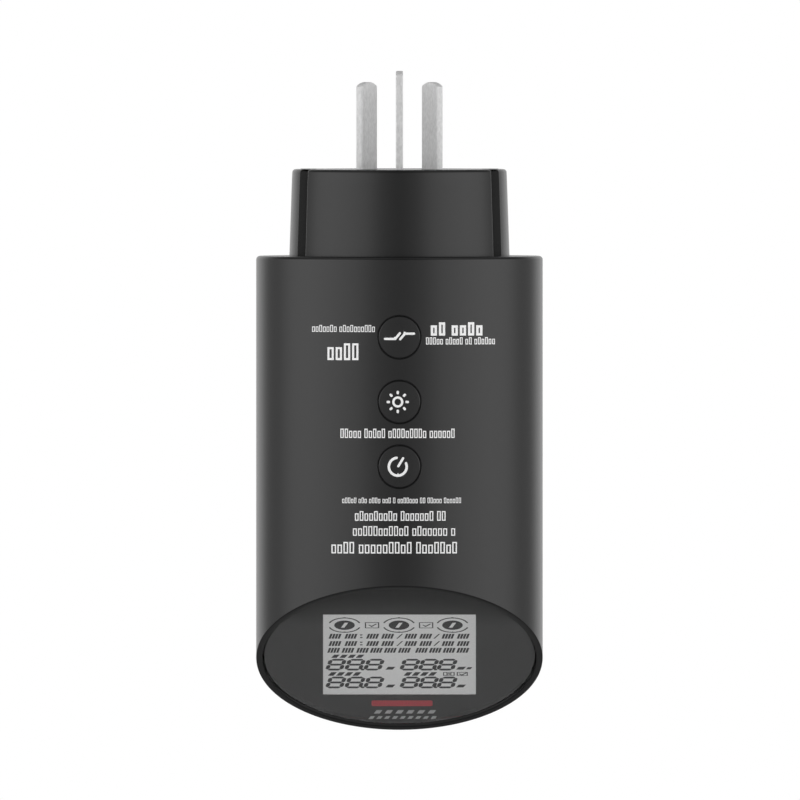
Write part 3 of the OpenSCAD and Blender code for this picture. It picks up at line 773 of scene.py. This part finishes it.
# ---------- Window ----------
# Oval plate of clear acrylic, diamond-polished, taped onto a black film. The film
# leaves a rectangle open for the display and carries plain printed bars below it.
window_r, window_top, window_back, window_soft = 28.4, 0.45, 1.97, 0.12
bond_back, view_half, view_low, view_high = 2.305, 15.95, -18.95, 18.35
mask_front = 1.95
face_cos, face_sin = -math.cos(cut_angle), math.sin(cut_angle)
ink_proud = 0.012


def on_face(depth):
    """Puts points across and up the slanted face at a depth below the rim."""
    return lambda u, v: (u, v * face_cos + depth * face_sin, cut_z + v * face_sin - depth * face_cos)


def coat(name, material):
    nodes[name].data.materials.clear()
    nodes[name].data.materials.append(material)


clear_acrylic = finish("clear_acrylic", (0.98, 0.985, 0.985), 0.006, grain=300, vary=0.004, bump=0,
                       Transmission_Weight=1.0, IOR=1.49)
window = Shell()
rows = [(window_r - window_soft, window_top), (window_r, window_top + window_soft), (window_r, window_back)]
rings = [[around_z(r, a, rim_z(r, a, d)) for a in TURNS] for r, d in rows]
window.wrap(*rings)
window.lid(rings[0])

# Clear adhesive fills the gap between the plate and the display
pad = [(-view_half, view_low), (view_half, view_low), (view_half, view_high), (-view_half, view_high)]
plate = [(x, y * face_cos + (z - cut_z) * face_sin) for x, y, z in rings[-1]]
window.sheet([plate, pad], [], lambda u, v: not inside(u, v, pad), on_face(window_back))
bond = [[on_face(depth)(u, v) for u, v in pad] for depth in (window_back, bond_back)]
window.wrap(*bond)
window.lid(bond[1])
window.make("window_plate", clear_acrylic, "body", "display_window", slot="window_clear")

coat("window_mask", finish("black_print_film", (0.006, 0.006, 0.0062), 0.5, grain=2500, vary=0.2, bump=0.05))


def slanted(x, y, wide, tall, lean=0.0):
    """Four-sided block, leaning over to the right by lean for its height."""
    k = lean * tall / 2
    return [(x - wide / 2 - k, y - tall / 2), (x + wide / 2 - k, y - tall / 2),
            (x + wide / 2 + k, y + tall / 2), (x - wide / 2 + k, y + tall / 2)]


red_ink = finish("red_screen_print", (0.85, 0.04, 0.07), 0.5, grain=4000, vary=0.12, bump=0)
soft_white_ink = finish("soft_white_screen_print", (0.8, 0.82, 0.82), 0.5, grain=4000, vary=0.15, bump=0)
ink_top, ink_bottom = on_face(mask_front - ink_proud), on_face(mask_front + 0.004)
bar = Shell()
printed(bar, [rounded_box(6.4, 1.35, 0.5, 0.55, -23.1)], ink_top, ink_bottom)
bar.make("window_red_bar", red_ink, "body", slot="mask_film")
bars = Shell()
dash_lean, dash_fill = 0.35, 0.55
for middle, count, pitch, left, tall in ((-27.1, 6, 2.25, -5.6, 1.6), (-29.75, 9, 1.62, -6.6, 1.25)):
    for k in range(count):
        dash = slanted(left + pitch * (k + 0.5), middle, pitch * dash_fill, tall, dash_lean)
        printed(bars, [dash], ink_top, ink_bottom)
bars.make("window_white_dashes", soft_white_ink, "body", slot="mask_film")

# ---------- Display ----------
# Reflective liquid-crystal cell behind the window. Its grey face glows evenly:
# painted light, not a lamp. Its dark segments show a test picture: three marks,
# three status rows and four figures.
lcd_front = 2.3
# The white emission is painted light that brightens the cell's grey face; the cell is no lamp.
lcd_glowing_face = finish("lcd_grey_painted_glow", (0.6, 0.6, 0.595), 0.6, grain=3800, vary=0.10, bump=0.05,
                  Emission_Color=(1.0, 1.0, 1.0, 1), Emission_Strength=0.24)
lcd_ink = finish("lcd_dark_segments", (0.004, 0.004, 0.005), 0.6, grain=3000, vary=0.2, bump=0)
coat("lcd_glass", lcd_glowing_face)
segments = Shell()


def mark(*outlines):
    printed(segments, outlines, on_face(lcd_front - ink_proud), on_face(lcd_front + 0.003))


def figure(left, low, wide, tall, lean, thick=0.85, gap=0.08):
    """Seven leaning segments of one figure."""
    h = thick / 2
    for flat, x, y, run in ((1, 0, 0, wide), (1, 0, tall / 2, wide), (1, 0, tall, wide), (0, 0, 0, tall / 2),
                            (0, wide, 0, tall / 2), (0, 0, tall / 2, tall / 2), (0, wide, tall / 2, tall / 2)):
        bar = [(gap, 0), (gap + h, -h), (run - gap - h, -h), (run - gap, 0), (run - gap - h, h), (gap + h, h)]
        line = [(x + a, y + b) if flat else (x - b, y + a) for a, b in bar]
        mark([(left + a + lean * b / tall, low + b) for a, b in line])


TICK = [[(-0.6, 0.05), (-0.1, -0.55), (0.85, 0.55)]]
CROSS = [[(-0.5, -0.4), (0.5, 0.4)], [(-0.5, 0.4), (-0.08, 0.07)], [(0.08, -0.07), (0.5, -0.4)]]


def tick_box(u, v, wide, tall, line, strokes=TICK):
    """An open box with a tick or a cross in it."""
    mark(slanted(u, v, wide, tall), slanted(u, v, wide - 2 * line, tall - 2 * line))
    for points in strokes:
        mark(moved(stroke(points, 0.3), u, v))


# Top row: three discs in broken rings, with a ticked box between each two
disc_v, disc_r, ring_r, ring_w = 13.25, 2.15, 3.3, 0.36
for u in (-11.5, -0.1, 11.1):
    mark(circle(disc_r, 40, u, disc_v), slanted(u, disc_v, 0.75, 2.3, 0.35))
    for start in (20, 200):
        mark(moved(ring_stroke(ring_r, ring_w, start, start + 140, 24), u, disc_v))
for u in (-5.74, 5.58):
    tick_box(u, disc_v - 0.02, 3.0, 2.7, 0.25)

# Status rows: a patch of hatching for each written sign
PAIRED = (-13.48, -10.16, -5.61, -2.47, 2.37, 5.51, 10.17, 13.34)
EVEN = (-13.77, -10.78, -7.72, -4.84, -1.91, 1.04, 4.63, 7.51, 10.39, 13.27)
hatch_pitch, hatch_w, hatch_tall, hatch_lean = 0.62, 0.47, 2.25, 0.18
for v, places in ((8.1, PAIRED), (4.67, PAIRED), (1.5, EVEN)):
    for u in places:
        for k in range(4):
            mark(slanted(u + hatch_pitch * (k - 1.5), v, hatch_w, hatch_tall, hatch_lean))
for v in (8.1, 4.67):
    for u in (0.04, 7.8):
        mark(slanted(u, v, 0.32, 2.2, 0.5))
    for lift in (-0.6, 0.6):
        mark(slanted(-8.0, v + lift, 0.5, 0.5))

# Four figures, each group of three with its point, its label and its unit
label_pitch, label_w, block_lean = 1.72, 1.15, 0.45
upper_v, lower_v, label_v = -7.8, -16.15, -9.6
for v, left, tall in ((-1.3, -14.26, 1.45), (label_v, -14.9, 1.65), (label_v, 0.93, 1.65)):
    for k in range(4):
        mark(slanted(left + label_pitch * k + 0.85, v, label_w, tall, block_lean))
for v in (upper_v, lower_v):
    for left, pitch in ((-15.15, 3.99), (0.37, 3.88)):
        for k in range(3):
            figure(left + pitch * k, v + 0.26, 2.9, 4.6, 0.8)
        mark(circle(0.4, 16, left + pitch * 2 - 0.55, v + 0.3))
    for u in (-1.9, 12.9):
        mark(slanted(u, v + 0.9, 1.5, 1.3, block_lean))
mark(slanted(14.6, upper_v + 0.9, 0.9, 1.0, block_lean))
tick_box(10.35, label_v, 2.4, 1.7, 0.22, CROSS)
tick_box(13.15, label_v, 2.3, 1.7, 0.22)
segments.make("lcd_segments", lcd_ink, "body", slot="lcd_cell")

# ---------- Battery door ----------
# Curved black cover let into the back of the barrel. Two tabs hook in at its top
# edge and one sunk screw holds its foot; a ribbed dish gives the thumb a grip.
door_in_r, door_gap, door_soft = 27.8, 0.25, 0.25
screw_z, sink_r, sink_y, screw_hole_r = -89.6, 2.3, 28.6, 1.25
dish_z, dish_x, dish_tall, dish_depth = -82.0, 6.2, 3.4, 0.6


def cover_outline(inset):
    gap = door_gap + inset
    return rounded_box(door_half - gap, door_half_z - gap, door_corner - inset, 0, door_mid, side=1.0)


def dish(x, z):
    """How far the thumb dish goes in at a point."""
    reach = (x / dish_x) ** 2 + ((z - dish_z) / dish_tall) ** 2
    return dish_depth * (1 - reach) ** 2 * (1 + 2 * reach) if reach < 1 else 0.0


def on_back(radius, sunk=None):
    return lambda x, z: (x, math.sqrt(radius ** 2 - x ** 2) - (sunk(x, z) if sunk else 0.0), z)


cover = Shell()
rim = [in_round(barrel_r, cover_outline(door_soft * (1 - s)), 1, door_soft * (1 - c)) for s, c in arc(5)]
cover.wrap(*rim, in_round(door_in_r, cover_outline(0), 1))


def clear_of_screw(hole):
    return lambda x, z: math.hypot(x, z - screw_z) > hole * 0.998


# The skin is finer where the thumb dish bends it
grid_x, grid_z = -10.8, -36
spots = [(grid_x + 0.9 * i, grid_z - 1.5 * k) for i in range(25) for k in range(36)
         if abs(grid_z - 1.5 * k - dish_z) > dish_tall + 0.6]
spots += [(grid_x + 0.45 * i, dish_z - dish_tall - 0.4 + 0.3 * k) for i in range(49) for k in range(26)]
spots = [(x, z) for x, z in spots if math.hypot(x, z - screw_z) > sink_r + 0.4]
sink, screw_hole = (circle(r, 48, 0, screw_z) for r in (sink_r, screw_hole_r))
cover.sheet([cover_outline(door_soft), sink], spots, clear_of_screw(sink_r), on_back(barrel_r, dish))
cover.sheet([cover_outline(0), screw_hole],
            [(-10.5 + 1.5 * i, grid_z - 4 * k) for i in range(15) for k in range(14)],
            clear_of_screw(screw_hole_r), on_back(door_in_r))
cover.wrap(in_round(barrel_r, sink, 1), [(x, sink_y, z) for x, z in sink],
           [(x, sink_y, z) for x, z in screw_hole], in_round(door_in_r, screw_hole, 1))
HOOK = ((24.9, -37), (27.9, -37), (27.9, -34.85), (25.9, -34.85), (25.9, -32.75), (25.75, -32.6), (24.9, -32.6))
for x in (-7, 7):
    sides = [[(x + half, y, z) for y, z in HOOK] for half in (-2, 2)]
    cover.wrap(*sides)
    cover.lid(sides[0][::-1])
    cover.lid(sides[1])
cover.make("battery_cover", black_plastic, "door", "battery_door", slot="barrel_plastic",
           true=on_skin(barrel_r))


def rib_tree(material):
    """Geometry nodes: a round-topped rib on every point of a row, each its own length."""
    tree, ins = new_tree("thumb ribs", "Rib radius")
    rib = node(tree, "GeometryNodeMeshCylinder", Vertices=16, Depth=1.0)
    tree.links.new(ins["Rib radius"], rib.inputs["Radius"])
    ribs = stamped(tree, ins["Geometry"], rib, {"Z": measure(tree, "long")}, (0, math.pi / 2, 0))
    return painted(tree, ribs, material)


rib_r, rib_pitch, rib_fill, rib_sunk = 0.28, 0.85, 0.62, 0.08
rib_rows = [(dish_z + rib_pitch * k, 2 * dish_x * math.sqrt(1 - (rib_pitch * k / dish_tall) ** 2) * rib_fill)
            for k in range(-3, 4)]
rib_points = [(0, math.sqrt(barrel_r ** 2 - (run / 2) ** 2) - rib_r - rib_sunk, z) for z, run in rib_rows]
grown("thumb_ribs", rib_points, rib_tree(black_plastic), "door", "barrel_plastic",
      {"Rib radius": rib_r * 0.001}, long=[run for _, run in rib_rows])

# ---------- Cells ----------
# Two 1.5 V cells side by side behind the door, one each way up. Each is a steel
# can in a printed plastic sleeve that is shrunk over its rims.
CELLS = (("cell_left", -5.6, -35.4, 1), ("cell_right", 5.6, -84.6, -1))
cell_y, printed_top = 18.7, 44.5
PROFILE = [(0.05, 0), (1.7, 0), (1.9, 0.2), (1.9, 0.8), (2.3, 0.85), (3.6, 0.85), (4.2, 1.1), (4.5, 0.82),
           (4.9, 0.86), (5.1, 1.05), (5.15, 1.3), (5.15, 2.6), (5.05, 2.75), (5.05, 3.05), (5.15, 3.2),
           (5.15, 20), (5.15, 43.3), (5.0, 43.5), (4.6, 43.55), (4.3, 43.4), (4.1, 44.0), (3.7, 44.35),
           (3.2, 44.49), (0.05, 44.49)]
can_steel = (0.42, 0.42, 0.43)
SLEEVE = [(0.0, can_steel), (0.045, (0.55, 0.27, 0.06)), (0.30, (0.02, 0.02, 0.022)), (0.96, can_steel)]
for cell_name, x, start, up in CELLS:
    sleeve = finish(cell_name + "_sleeve", (1, 1, 1), 0.32, grain=900, vary=0.06, bump=0.04, stops=SLEEVE,
                    along=(2, start * 0.001, (start - up * printed_top) * 0.001))
    can = Shell()
    rows = [[(*spot, start - up * h) for spot in circle(r, 64, x, cell_y)] for r, h in PROFILE]
    can.wrap(*rows)
    can.lid(rows[0])
    can.lid(rows[-1][::-1])
    can.make(cell_name + "_can", sleeve, "body", cell_name, slot="cell_jacket")

# ---------- Parts inside ----------
# What the barrel holds: boards with their solder mask and tracks, parts in their
# usual cases, plated screws, and the wires that run up to the blades.


def board_finish(name, turn):
    """Green solder mask with lighter tracks under it."""
    made = finish(name, (0.012, 0.10, 0.035), 0.35, grain=1500, vary=0.2, bump=0)
    tree = made.node_tree
    skin = tree.nodes["Principled BSDF"]
    mask = skin.inputs["Base Color"].links[0].from_socket
    place = node(tree, "ShaderNodeTexCoord").outputs["Object"]
    lay = node(tree, "ShaderNodeMapping", Rotation=(math.radians(turn), 0, 0), Scale=(260, 260, 260))
    tree.links.new(place, lay.inputs["Vector"])
    tracks = node(tree, "ShaderNodeTexBrick")
    for label, value in (("Scale", 1.0), ("Mortar Size", 0.05), ("Mortar Smooth", 0.0), ("Brick Width", 1.7),
                         ("Row Height", 0.42)):
        tracks.inputs[label].default_value = value
    tree.links.new(lay.outputs[0], tracks.inputs["Vector"])
    both = node(tree, "ShaderNodeMix", data_type="RGBA")
    tree.links.new(tracks.outputs["Fac"], both.inputs[0])
    tree.links.new(mask, both.inputs[6])
    both.inputs[7].default_value = (0.05, 0.24, 0.08, 1)
    tree.links.new(both.outputs[2], skin.inputs["Base Color"])
    return made


green, steel, tan = (0.02, 0.24, 0.05), (0.55, 0.55, 0.56), (0.5, 0.42, 0.28)
INSIDES = {
    finish("cream_nylon", (0.68, 0.64, 0.52), 0.45, grain=1500, vary=0.06): ("pin_clamp",),
    finish("zinc_plated_steel", steel, 0.35, metal=0.9, grain=2500, vary=0.12, bump=0.1):
        ("clamp_screws", "base_screws", "board_screws", "button_screws", "display_screws", "holder_screws",
         "tray_screws", "door_screw"),
    finish("brown_wire", (0.16, 0.05, 0.02), 0.4, grain=2500, vary=0.1, bump=0.05): ("live_wire",),
    finish("blue_wire", (0.02, 0.07, 0.35), 0.4, grain=2500, vary=0.1, bump=0.05): ("neutral_wire",),
    finish("striped_wire", (1, 1, 1), 0.4, grain=2500, vary=0.1, bump=0.05, along=(0, -0.0009, 0.0009), stops=[
        (0.0, green), (0.36, (0.75, 0.6, 0.02)), (0.64, green)]): ("earth_wire",),
    board_finish("board_upright", 90): ("main_board", "button_board"),
    board_finish("board_slanted", 0): ("display_board",),
    finish("fuse_body", (1, 1, 1), 0.3, grain=1200, vary=0.06, bump=0.03, along=(0, -0.01, 0.01), stops=[
        (0.0, steel), (0.25, (0.72, 0.70, 0.62)), (0.75, steel)]): ("fuse",),
    finish("blue_epoxy", (0.02, 0.12, 0.42), 0.42, grain=1800, vary=0.15, bump=0.2): ("varistor",),
    finish("yellow_film_case", (0.68, 0.50, 0.05), 0.4, grain=1500, vary=0.08): ("film_capacitor",),
    finish("dark_component_case", (0.01, 0.01, 0.011), 0.38, grain=2200, vary=0.2):
        ("relay", "controller", "switch_bodies"),
    finish("tan_resistor", (1, 1, 1), 0.45, grain=1500, vary=0.1, along=(0, -0.006, 0.006), stops=[
        (0.0, tan), (0.18, (0.3, 0.02, 0.02)), (0.26, tan), (0.38, (0.02, 0.02, 0.02)), (0.46, tan),
        (0.58, (0.25, 0.08, 0.02)), (0.66, tan)]): ("load_resistors",),
    finish("blue_resistor", (0.12, 0.38, 0.5), 0.4, grain=1500, vary=0.1): ("divider_resistors",),
    finish("grey_plunger", (0.12, 0.12, 0.13), 0.4, grain=2000, vary=0.1):
        ("plunger_test", "plunger_light", "plunger_power"),
    finish("grey_ribbon", (0.45, 0.46, 0.48), 0.4, grain=(1600, 60, 60), vary=0.35, bump=0.2):
        ("button_ribbon", "display_ribbon"),
    finish("white_foam_tape", (0.72, 0.72, 0.68), 0.8, grain=1800, vary=0.06, bump=0.25): ("window_tape",),
    finish("white_holder_plastic", (0.8, 0.8, 0.78), 0.4, grain=1800, vary=0.04): ("lcd_holder",),
    finish("frosted_acrylic", (0.92, 0.93, 0.95), 0.25, grain=600, vary=0.02, bump=0.05,
           Transmission_Weight=0.7, IOR=1.49): ("light_guide",),
    finish("banded_rubber", (0.55, 0.28, 0.32), 0.6, grain=(5200, 60, 60), vary=0.5): ("contact_strips",),
    finish("led_resin", (0.85, 0.8, 0.35), 0.3, grain=1500, vary=0.08): ("backlight_leds",),
    finish("tray_plastic", (0.012, 0.012, 0.013), 0.4, grain=2600, vary=0.15, bump=0.12): ("battery_tray",),
    finish("contact_nickel", (0.62, 0.60, 0.56), 0.3, metal=0.9, grain=2000, vary=0.1, bump=0.08):
        ("cell_contacts",),
}
for material, names in INSIDES.items():
    for name in names:
        coat(name, material)
